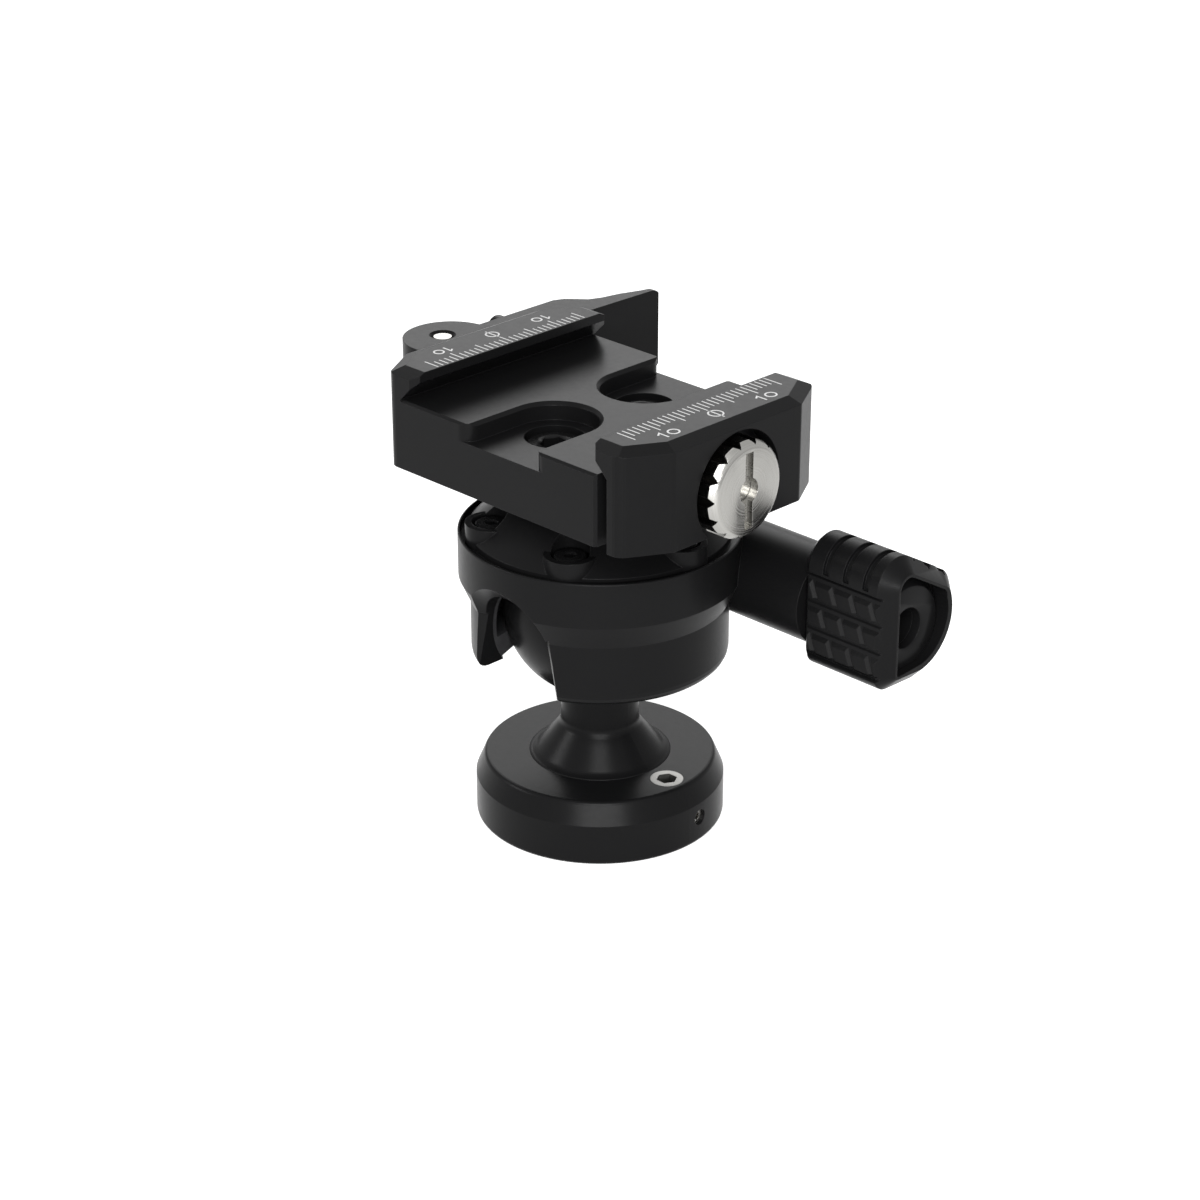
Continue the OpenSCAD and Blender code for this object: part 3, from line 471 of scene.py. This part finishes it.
def knob_ring(x, inset=0.0, belly=0.0):
    """The knob's section as a ring of points at one x."""
    return [(x, LOCK_Y + y, LOCK_Z + z) for y, z in knob_section(inset, belly)]


def knob_body(mesh):
    """The knob's solid form, with a small bevel at the arm and a wide one at the end."""
    add_loft(mesh, [
        knob_ring(KNOB_X0, KNOB_EDGE, KNOB_EDGE), knob_ring(KNOB_X0 + KNOB_EDGE),
        knob_ring(KNOB_X1 - KNOB_BEVEL), knob_ring(KNOB_X1, KNOB_BEVEL, KNOB_BEVEL),
    ])


def knob_recess(mesh, gap=0.0):
    """The room inside the knob's end rim, down to the disc's seat."""
    inset = (KNOB_BEVEL + KNOB_RIM + gap, KNOB_BEVEL + KNOB_BELLY_RIM + gap)
    add_loft(mesh, [knob_ring(DISC_X, *inset), knob_ring(KNOB_X1 + OVERCUT, *inset)])


def disc_body(mesh):
    """The disc in the knob's end: a flat face and a sloped rim."""
    out, down = DISC_EDGE
    add_turned(mesh, [
        (DISC_OUTER_R, DISC_X + DISC_SEAT_GAP), (DISC_FLAT_R + out, DISC_TOP - down),
        (DISC_FLAT_R - down, DISC_TOP),
    ], LOCK_AXIS)


def disc_hole(mesh):
    """The hole in the disc, with a rounded mouth."""
    out, down = DISC_MOUTH_MIDDLE
    add_turned(mesh, [
        (DISC_HOLE_R, DISC_X - OVERCUT), (DISC_HOLE_R, DISC_TOP - DISC_MOUTH),
        (DISC_HOLE_R + out, DISC_TOP - down), (DISC_HOLE_R + DISC_MOUTH, DISC_TOP),
        (DISC_HOLE_R + DISC_MOUTH, DISC_TOP + OVERCUT),
    ], LOCK_AXIS)


def make_disc():
    """The disc, cut to the shape of the knob's recess."""
    disc = solid("knob_end_disc", disc_body)
    combine(disc, solid("knob_tool", lambda mesh: knob_recess(mesh, DISC_GAP)), "INTERSECT")
    combine(disc, solid("knob_tool", disc_hole), "DIFFERENCE")
    finish_piece(disc, BLACK, "knob")
    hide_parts("knob_disc")


def knob_hole(mesh):
    """The hole under the disc's, down to the lock screw's end."""
    add_turned(mesh, [(DISC_HOLE_R, SCREW_END), (DISC_HOLE_R, DISC_X + OVERCUT)], LOCK_AXIS)


def rib_grooves(mesh):
    """The grooves between the ribs round the knob's first lobe."""
    centre = (LOCK_Y + LOBE_A[0], LOCK_Z + LOBE_A[1])
    rib_end = FLAT2_TURN - 6
    outline = arc(centre, LOBE_R - RIB_GROOVE_D, RIB_START, rib_end, 28)
    outline += arc(centre, LOBE_R + 2, rib_end, RIB_START, 28)
    for x in RIB_X:
        add_prism(mesh, outline, x, x + RIB_GROOVE_W)


def grip_area(top, bands):
    """The layer that the grip is cut into: the surface lies at y = 0 and the knob at y > 0."""
    def build(mesh):
        low = top - bands * BAND_PITCH
        outline = [(-OVERCUT, low), (GRIP_DEPTH, low), (GRIP_DEPTH, top), (-OVERCUT, top)]
        add_prism(mesh, outline, KNOB_X0 - OVERCUT, GRIP_END)
    return build


def grip_blocks(top, starts):
    """Slanted blocks in bands: a bevelled end towards +X, a sloped upper side and upright other sides."""
    def block(mesh, x, z1):
        z0 = z1 - BLOCK_H
        length = BLOCK_PITCH - BLOCK_GAP

        def corner(from_end, z, y):
            return (x + from_end + (z1 - z) * BLOCK_LEAN, y, z)

        deep = GRIP_DEPTH + GRIP_OVERCUT
        reach = BLOCK_FACE * deep / GRIP_DEPTH
        rise = BLOCK_SLOPE * deep / GRIP_DEPTH
        outer = [corner(-length, z0, 0), corner(0, z0, 0), corner(0, z1, 0), corner(-length, z1, 0)]
        inner = [corner(-length, z0, deep), corner(reach, z0, deep),
                 corner(reach, z1 + rise, deep), corner(-length, z1 + rise, deep)]
        above = [(px, -2 * OVERCUT, pz) for px, _, pz in outer]
        add_loft(mesh, [above, outer, inner])

    def build(mesh):
        for band, start in enumerate(starts):
            z1 = top - BLOCK_DROP - band * BAND_PITCH
            for k in BLOCK_NUMBERS:
                block(mesh, start + k * BLOCK_PITCH, z1)
    return build


def grip_grooves(top, count):
    """The deeper grooves between the bands, each with a sloped lower side and a slanted end."""
    def build(mesh):
        for i in range(count):
            z = top - i * BAND_PITCH
            section = [
                (-OVERCUT, z + GROOVE_WALL_LEAN), (GROOVE_DEPTH, z - GROOVE_WALL_LEAN),
                (GROOVE_DEPTH, z - GROOVE_FLOOR), (-OVERCUT, z - GROOVE_H - GROOVE_SLOPE),
            ]
            add_prism(mesh, section, KNOB_X0 - OVERCUT, GROOVE_END)
    return build


def cut_grip(knob, place, top, starts, grooves):
    """Cut one flat's grip: the layer less its blocks, and then the grooves."""
    layer = solid("grip_layer", grip_area(top, len(starts)), place)
    combine(layer, solid("grip_blocks", grip_blocks(top, starts), place), "DIFFERENCE")
    combine(knob, layer, "DIFFERENCE")
    combine(knob, solid("grip_grooves", grip_grooves(top, grooves), place), "DIFFERENCE")


def make_knob():
    """The lock knob with its ribs and with grip blocks on both flats."""
    knob = solid("lock_knob_grip", knob_body)
    for build in (knob_recess, knob_hole, rib_grooves):
        combine(knob, solid("knob_tool", build), "DIFFERENCE")
    axis = Matrix.Translation((0, LOCK_Y, LOCK_Z))
    cut_grip(knob, axis @ Matrix.Translation((0, -KNOB_FLAT, 0)), MAIN_TOP, BAND_START, 4)
    turn = Matrix.Rotation(math.radians(FLAT2_TURN - 180), 4, "X")
    second = axis @ turn @ Matrix.Translation((0, -KNOB_FLAT2, 0))
    cut_grip(knob, second, SECOND_TOP, SECOND_START, 2)
    finish_piece(knob, BLACK, "knob")
    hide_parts("lock_knob")


# ---------------------------------------------------------------- adjusting nut

ROD_AXIS = Matrix.Translation((0, 0, ROD_Z)) @ Matrix.Rotation(math.pi / 2, 4, "Y")
NUT_REAR_EDGE = 0.2
NUT_BEVEL_MIDDLE = ((0.35, 0.5), (0.95, 0.06))
NUT_STEPS = 140
BORE_END_GAP = 0.05
BORE_STEP = 0.051
NOTCH_DEPTH = 1.15
NOTCH_HALF = 0.75
NOTCH_REAR = 0.5
NOTCH_END = (0.4, 0.15)


def nut_body(mesh):
    """The nut's round form with a rounded front bevel."""
    add_turned(mesh, [
        (NUT_R - NUT_REAR_EDGE, NUT_X0), (NUT_R, NUT_X0 + NUT_REAR_EDGE), (NUT_R, NUT_X1 - NUT_BEVEL),
        *((NUT_R - inward, NUT_X1 - back) for inward, back in NUT_BEVEL_MIDDLE), (NUT_R - NUT_BEVEL, NUT_X1),
    ], ROD_AXIS, NUT_STEPS)


def nut_holes(mesh):
    """The bore for the rod and its narrower mouth."""
    add_turned(mesh, [
        (NUT_BORE_R, NUT_X0 - OVERCUT), (NUT_BORE_R, ROD_END + BORE_END_GAP),
        (NUT_HOLE_R, ROD_END + BORE_STEP), (NUT_HOLE_R, NUT_X1 + OVERCUT),
    ], ROD_AXIS)


def nut_notches(mesh):
    """V notches round the rim that run out in the bevel."""
    past, end_depth = NOTCH_END
    stations = (
        (NUT_X0 - NOTCH_REAR, NOTCH_DEPTH), (NUT_X1 - NUT_BEVEL, NOTCH_DEPTH), (NUT_X1 + past, end_depth),
    )
    for i in range(NUT_NOTCHES):
        turn = Matrix.Rotation(2 * math.pi * (i + 0.5) / NUT_NOTCHES, 4, "X")
        rings = []
        for x, depth in stations:
            low = NUT_R - depth
            wide = NOTCH_HALF * (NUT_R + OVERCUT - low) / NOTCH_DEPTH
            ring = [(x, 0, low), (x, wide, NUT_R + OVERCUT), (x, -wide, NUT_R + OVERCUT)]
            rings.append([Matrix.Translation((0, 0, ROD_Z)) @ turn @ Vector(point) for point in ring])
        add_loft(mesh, rings)


def coin_slot(mesh):
    """The slot across the nut's face, from its width, depth and half length."""
    width, depth, half = COIN_SLOT
    y, z = width / 2, ROD_Z + half
    outline = [(-y, 2 * ROD_Z - z), (y, 2 * ROD_Z - z), (y, z), (-y, z)]
    add_prism(mesh, outline, NUT_X1 - depth, NUT_X1 + OVERCUT)


def make_nut():
    """The adjusting nut with its bore, notches and coin slot."""
    nut = solid("adjusting_nut_turned", nut_body)
    for build in (nut_holes, nut_notches, coin_slot):
        combine(nut, solid("nut_tool", build), "DIFFERENCE")
    finish_piece(nut, TURNED_STEEL, "nut")
    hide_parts("adjusting_nut")


# ---------------------------------------------------------------- socket screws


Screw = namedtuple("Screw", "shank_r tip head_r head top socket_r socket_depth")
CLAMP_SCREW = Screw(shank_r=2.5, tip=50.43, head_r=4.2, head=58.9, top=63.0, socket_r=2.3, socket_depth=2.9)
CLAMP_SCREW_Y = 9.2
CAP_SCREW = Screw(shank_r=1.5, tip=43.36, head_r=2.5, head=47.05, top=49.45, socket_r=0.95, socket_depth=1.4)
CAP_SCREW_RING = 16.5
CAP_SCREW_COUNT = 6
HIGH_TIPS = (1, 2)  # these two cap screws end over the lock bore
HIGH_TIP = 44.25
TIP_BEVEL = 0.3
HEAD_UNDERCUT = (0.08, 0.001)
HEAD_LOW_EDGE = 0.1
HEAD_BEVEL = 0.32
HEAD_BEVEL_MIDDLE = (0.1, 0.12)
MOUTH_DEPTH = 0.3
MOUTH_FLOOR = 0.8
MOUTH_WIDE = 1.12
MOUTH_RISE = 0.02


def socket_screws(name, placed, node):
    """Screws with a bevelled head and a hexagon socket, from pairs of a place and a Screw."""
    def bodies(mesh):
        under_in, under_up = HEAD_UNDERCUT
        middle_in, middle_down = HEAD_BEVEL_MIDDLE
        for place, screw in placed:
            add_turned(mesh, [
                (screw.shank_r - TIP_BEVEL, screw.tip), (screw.shank_r, screw.tip + TIP_BEVEL),
                (screw.shank_r, screw.head), (screw.head_r - under_in, screw.head + under_up),
                (screw.head_r, screw.head + HEAD_LOW_EDGE), (screw.head_r, screw.top - HEAD_BEVEL),
                (screw.head_r - middle_in, screw.top - middle_down), (screw.head_r - HEAD_BEVEL, screw.top),
            ], place, 64)

    def sockets(mesh):
        for place, screw in placed:
            add_hexagon(mesh, screw.socket_r, screw.top - screw.socket_depth, screw.top + OVERCUT, place)

    def mouths(mesh):
        for place, screw in placed:
            wide = screw.socket_r * MOUTH_WIDE
            add_turned(mesh, [
                (screw.socket_r * MOUTH_FLOOR, screw.top - MOUTH_DEPTH), (wide, screw.top + MOUTH_RISE),
                (wide, screw.top + OVERCUT),
            ], place, 48)

    piece = solid(name, bodies)
    for build in (sockets, mouths):
        combine(piece, solid("screw_tool", build), "DIFFERENCE")
    finish_piece(piece, SCREW_BLACK, "head")
    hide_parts(node)


def make_screws():
    """The two screws in the clamp's pockets and the six in the cap's ears."""
    clamp = [(Matrix.Translation((0, side * CLAMP_SCREW_Y, 0)), CLAMP_SCREW) for side in (-1, 1)]
    socket_screws("clamp_socket_screws", clamp, "clamp_screws")
    cap = []
    for i in range(CAP_SCREW_COUNT):
        turn = math.pi * i / 3
        place = Matrix.Translation((CAP_SCREW_RING * math.cos(turn), CAP_SCREW_RING * math.sin(turn), 0))
        cap.append((place, CAP_SCREW._replace(tip=HIGH_TIP) if i in HIGH_TIPS else CAP_SCREW))
    socket_screws("cap_socket_screws", cap, "cap_screws")


# ---------------------------------------------------------------- tripod thread


RIDGE_STEPS = 60
RIDGE_FADE = 30
RIDGE_LEAST = 0.05
RIDGE_DEPTH = 0.8
RIDGE_HALF = THREAD_PITCH * 0.44
RIDGE_TIP_HALF = 0.1
RIDGE_SINK = 0.03
RIDGE_MARGIN = 0.15


def thread_ridge(mesh):
    """The ridge of the 3/8 inch thread as one helix inside the bush, fading out at both ends."""
    turns = (BUSH_TOP - 2 * RIDGE_HALF - 2 * RIDGE_MARGIN) / THREAD_PITCH
    rings = []
    for i in range(int(turns * RIDGE_STEPS) + 1):
        a = 2 * math.pi * i / RIDGE_STEPS
        z = RIDGE_HALF + RIDGE_MARGIN + THREAD_PITCH * i / RIDGE_STEPS
        left = turns * RIDGE_STEPS - i
        deep = RIDGE_DEPTH * min(1.0, i / RIDGE_FADE + RIDGE_LEAST, left / RIDGE_FADE + RIDGE_LEAST)
        section = (
            (THREAD_R + RIDGE_SINK, -RIDGE_HALF), (THREAD_R - deep, -RIDGE_TIP_HALF),
            (THREAD_R - deep, RIDGE_TIP_HALF), (THREAD_R + RIDGE_SINK, RIDGE_HALF),
        )
        rings.append([(r * math.cos(a), r * math.sin(a), z + dz) for r, dz in section])
    add_loft(mesh, rings)


def make_thread():
    """The tripod thread's ridge, which rides on the base."""
    finish_piece(solid("tripod_thread_ridge", thread_ridge), STEEL, "base")


# ---------------------------------------------------------------- scale marks

TICK_W = 0.2
STROKE_W = 0.28
MARK_LOW = -0.03
MARK_HIGH = 0.012


def add_ribbon(mesh, path, width, closed=False):
    """A thin ribbon along a flat path, mitred at its corners, on the jaws' top face."""
    count = len(path)
    rings = []
    for i, (x, y) in enumerate(path):
        before = path[i - 1] if i > 0 or closed else None
        after = path[(i + 1) % count] if i < count - 1 or closed else None
        ways = []
        if before is not None:
            ways.append(Vector((x - before[0], y - before[1])).normalized())
        if after is not None:
            ways.append(Vector((after[0] - x, after[1] - y)).normalized())
        way = sum(ways, Vector((0, 0))).normalized()
        reach = width / 2 / max(0.5, way.dot(ways[0]))
        side = Vector((-way.y, way.x)) * reach
        low, high = JAW_TOP_Z + MARK_LOW, JAW_TOP_Z + MARK_HIGH
        rings.append([(x + side.x, y + side.y, low), (x - side.x, y - side.y, low),
                      (x - side.x, y - side.y, high), (x + side.x, y + side.y, high)])
    add_loft(mesh, rings, joined=closed)


def ellipse(centre, half_w, half_h, steps=28):
    """Points round an ellipse."""
    turns = [2 * math.pi * i / steps for i in range(steps)]
    return [(centre[0] + half_w * math.cos(a), centre[1] + half_h * math.sin(a)) for a in turns]


def ten(width, height):
    """The strokes of the number 10, centred on its baseline: paths, each closed or not."""
    one = -0.28 * width
    return [
        ([(one - 0.2 * width, 0.72 * height), (one, height), (one, 0)], False),
        (ellipse((0.25 * width, height / 2), 0.24 * width, height / 2 - STROKE_W / 2), True),
    ]


def zero_mark(radius):
    """The sign at the middle of the scale: a ring with a line through it."""
    return [(ellipse((0, 0), radius, radius), True), ([(0, -1.55 * radius), (0, 1.35 * radius)], False)]


def scale_marks(side, lip, short, long, text_x, text_w, text_h, sign_x, sign_r):
    """One jaw's scale: a tick each millimetre, numbers at 10 and a sign in the middle."""
    def build(mesh):
        for y in range(-15, 16):
            length = long if y % 5 == 0 else short
            add_ribbon(mesh, [(side * lip, y), (side * (lip + length), y)], TICK_W)
        for y in (-10, 10):
            for path, closed in ten(text_w, text_h):
                add_ribbon(mesh, [(side * (text_x - v), y + side * u) for u, v in path], STROKE_W, closed)
        for path, closed in zero_mark(sign_r):
            add_ribbon(mesh, [(side * (sign_x - v), side * u) for u, v in path], STROKE_W * 0.9, closed)
    return build


def make_marks():
    """The scale on each jaw; the moving jaw's is a little larger."""
    near = scale_marks(
        1, lip=LIP_HALF + 0.32, short=2.45, long=3.52, text_x=24.4, text_w=3.6, text_h=1.9,
        sign_x=22.9, sign_r=1.1,
    )
    far = scale_marks(
        -1, lip=LIP_HALF + 0.30, short=2.0, long=2.9, text_x=23.7, text_w=3.1, text_h=1.8,
        sign_x=22.8, sign_r=1.0,
    )
    finish_piece(solid("scale_on_moving_jaw", near), MARKING, "jaw")
    finish_piece(solid("scale_on_fixed_jaw", far), MARKING, "head")


# ---------------------------------------------------------------- stage

WORLD_FILL = 0.45
FLOOR_GAP = 0.02 * MM
SOFT_BOXES = (
    # name, place, width and height in metres, power in watts
    ("back_box", (-0.48, 0.42, 0.38), (0.5, 0.3), 1.35),
    ("top_box", (0.0, 0.0, 0.8), (0.5, 0.5), 0.4),
    ("front_low_box", (0.42, -0.42, 0.17), (0.45, 0.1), 2.9),
    ("front_high_box", (0.34, -0.34, 0.42), (0.3, 0.2), 3.0),
    ("left_box", (-0.42, -0.42, 0.31), (0.2, 0.15), 1.2),
)


def camera_back():
    """Direction from the object to the camera."""
    return Vector((
        math.sin(CAMERA_AZIMUTH) * math.cos(CAMERA_ELEVATION),
        -math.cos(CAMERA_AZIMUTH) * math.cos(CAMERA_ELEVATION),
        math.sin(CAMERA_ELEVATION),
    ))


def add_camera():
    """The camera that matches the photo's view."""
    data = bpy.data.cameras.new("camera")
    data.lens = LENS
    data.sensor_width = 36
    camera = bpy.data.objects.new("camera", data)
    bpy.context.scene.collection.objects.link(camera)
    camera.location = LOOK_AT + camera_back() * CAMERA_DISTANCE
    camera.rotation_euler = (-camera_back()).to_track_quat("-Z", "Y").to_euler()
    bpy.context.scene.camera = camera


def add_area(name, location, size, power):
    """A rectangular soft box that faces the object."""
    data = bpy.data.lights.new(name, "AREA")
    data.shape = "RECTANGLE"
    data.size, data.size_y = size
    data.energy = power
    lamp = bpy.data.objects.new(name, data)
    bpy.context.scene.collection.objects.link(lamp)
    lamp.location = location
    lamp.rotation_euler = (LOOK_AT - Vector(location)).to_track_quat("-Z", "Y").to_euler()


def seen_directly(tree):
    """1 for rays that show the background itself: camera, mirror and glass rays."""
    path = tree.nodes.new("ShaderNodeLightPath")
    first = tree.nodes.new("ShaderNodeMath")
    first.operation = "MAXIMUM"
    second = tree.nodes.new("ShaderNodeMath")
    second.operation = "MAXIMUM"
    tree.links.new(path.outputs["Is Camera Ray"], first.inputs[0])
    tree.links.new(path.outputs["Is Glossy Ray"], first.inputs[1])
    tree.links.new(first.outputs[0], second.inputs[0])
    tree.links.new(path.outputs["Is Transmission Ray"], second.inputs[1])
    return second.outputs[0]


def add_world(fill):
    """A soft fill light on the object, in front of a background that is white where it is seen."""
    world = bpy.data.worlds.new("studio")
    world.use_nodes = True
    bpy.context.scene.world = world
    tree = world.node_tree
    tree.nodes.clear()
    output = tree.nodes.new("ShaderNodeOutputWorld")
    mix = tree.nodes.new("ShaderNodeMixShader")
    soft = tree.nodes.new("ShaderNodeBackground")
    soft.inputs["Color"].default_value = (1, 1, 1, 1)
    soft.inputs["Strength"].default_value = fill
    white = tree.nodes.new("ShaderNodeBackground")
    white.inputs["Color"].default_value = (1, 1, 1, 1)
    white.inputs["Strength"].default_value = 1.0
    tree.links.new(seen_directly(tree), mix.inputs["Fac"])
    tree.links.new(soft.outputs[0], mix.inputs[1])
    tree.links.new(white.outputs[0], mix.inputs[2])
    tree.links.new(mix.outputs[0], output.inputs["Surface"])


def add_floor(half=3.0, glow=0.55):
    """A white floor: its own glow keeps it white to the eye, and its diffuse part keeps the shadow."""
    mesh = bpy.data.meshes.new("floor")
    corners = [(-half, -half, 0), (half, -half, 0), (half, half, 0), (-half, half, 0)]
    mesh.from_pydata(corners, [], [(0, 1, 2, 3)])
    floor = bpy.data.objects.new("floor", mesh)
    bpy.context.scene.collection.objects.link(floor)
    floor.location.z = -FLOOR_GAP
    material = bpy.data.materials.new("floor_white")
    material.use_nodes = True
    tree = material.node_tree
    tree.nodes.clear()
    output = tree.nodes.new("ShaderNodeOutputMaterial")
    add = tree.nodes.new("ShaderNodeAddShader")
    mix = tree.nodes.new("ShaderNodeMixShader")
    diffuse = tree.nodes.new("ShaderNodeBsdfDiffuse")
    diffuse.inputs["Color"].default_value = (0.8, 0.8, 0.8, 1)
    emission = tree.nodes.new("ShaderNodeEmission")
    emission.inputs["Color"].default_value = (1, 1, 1, 1)
    emission.inputs["Strength"].default_value = glow
    none = tree.nodes.new("ShaderNodeEmission")
    none.inputs["Strength"].default_value = 0.0
    tree.links.new(seen_directly(tree), mix.inputs["Fac"])
    tree.links.new(none.outputs[0], mix.inputs[1])
    tree.links.new(emission.outputs[0], mix.inputs[2])
    tree.links.new(diffuse.outputs[0], add.inputs[0])
    tree.links.new(mix.outputs[0], add.inputs[1])
    tree.links.new(add.outputs[0], output.inputs["Surface"])
    mesh.materials.append(material)


dress_nodes()
make_knob()
make_disc()
make_nut()
make_screws()
make_thread()
make_marks()
add_camera()
add_world(WORLD_FILL)
add_floor()
for box in SOFT_BOXES:
    add_area(*box)
bpy.context.scene.view_settings.view_transform = "Standard"
